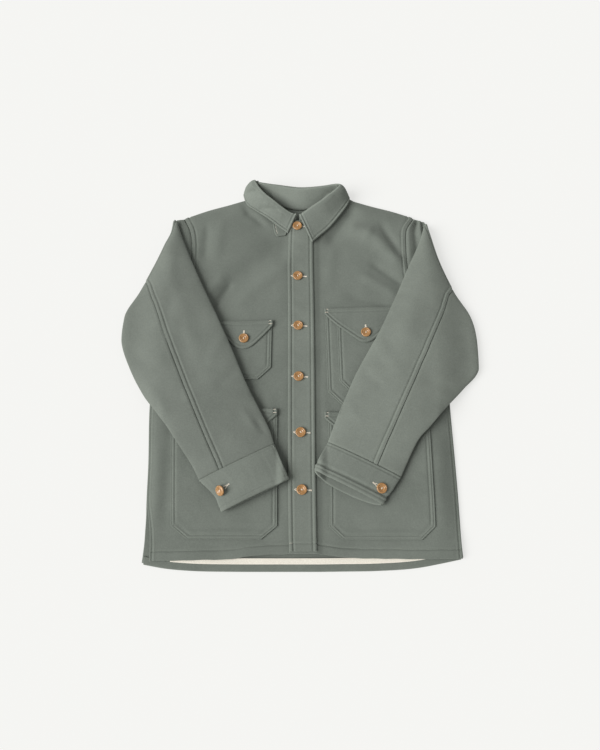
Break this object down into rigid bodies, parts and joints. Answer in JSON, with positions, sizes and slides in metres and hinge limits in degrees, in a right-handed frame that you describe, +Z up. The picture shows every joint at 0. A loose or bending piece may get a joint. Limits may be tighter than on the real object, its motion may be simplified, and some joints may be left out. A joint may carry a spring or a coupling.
{
  "type": "mackinaw jacket",
  "caption": "Heavy wool mackinaw jacket laid flat and buttoned, sleeves folded over the fronts, with flapped chest and lower patch pockets, turn-down collar and band cuffs.",
  "frame": {"origin": "middle of the whole jacket in plan, on the surface that it lies on", "axes": "+Z up from the surface, +Y from the hem to the collar, +X to the right of someone who faces the jacket"},
  "size_m": [0.7186, 0.813, 0.0486],
  "materials": {
    "wool": "heavy milled grey-green wool with a short soft nap",
    "tape": "cream cotton binding tape",
    "button": "polished tan nut-shell button with brown streaks"
  },
  "bodies": {
    "root": {"back": "wool", "back_hem": "wool", "hem_tape": "tape", "front_left": "wool", "front_right": "wool", "placket": "wool", "chest_pocket_left": "wool", "chest_pocket_right": "wool", "chest_pocket_right_inner": "wool", "lower_pocket_left": "wool", "lower_pocket_right": "wool", "chest_flap_left": "wool", "chest_flap_right": "wool", "lower_flap_left": "wool", "lower_flap_right": "wool", "sleeve_head_left": "wool", "sleeve_head_right": "wool", "sleeve_top_left": "wool", "sleeve_under_left": "wool", "sleeve_top_right": "wool", "sleeve_under_right": "wool", "cuff_left": "wool", "cuff_right": "wool", "collar": "wool", "throat_tab": "wool", "button_placket_1": "button", "button_placket_2": "button", "button_placket_3": "button", "button_placket_4": "button", "button_placket_5": "button", "button_placket_6": "button", "button_chest_left": "button", "button_chest_right": "button", "button_cuff_left": "button", "button_cuff_right": "button"}
  },
  "joints": []
}
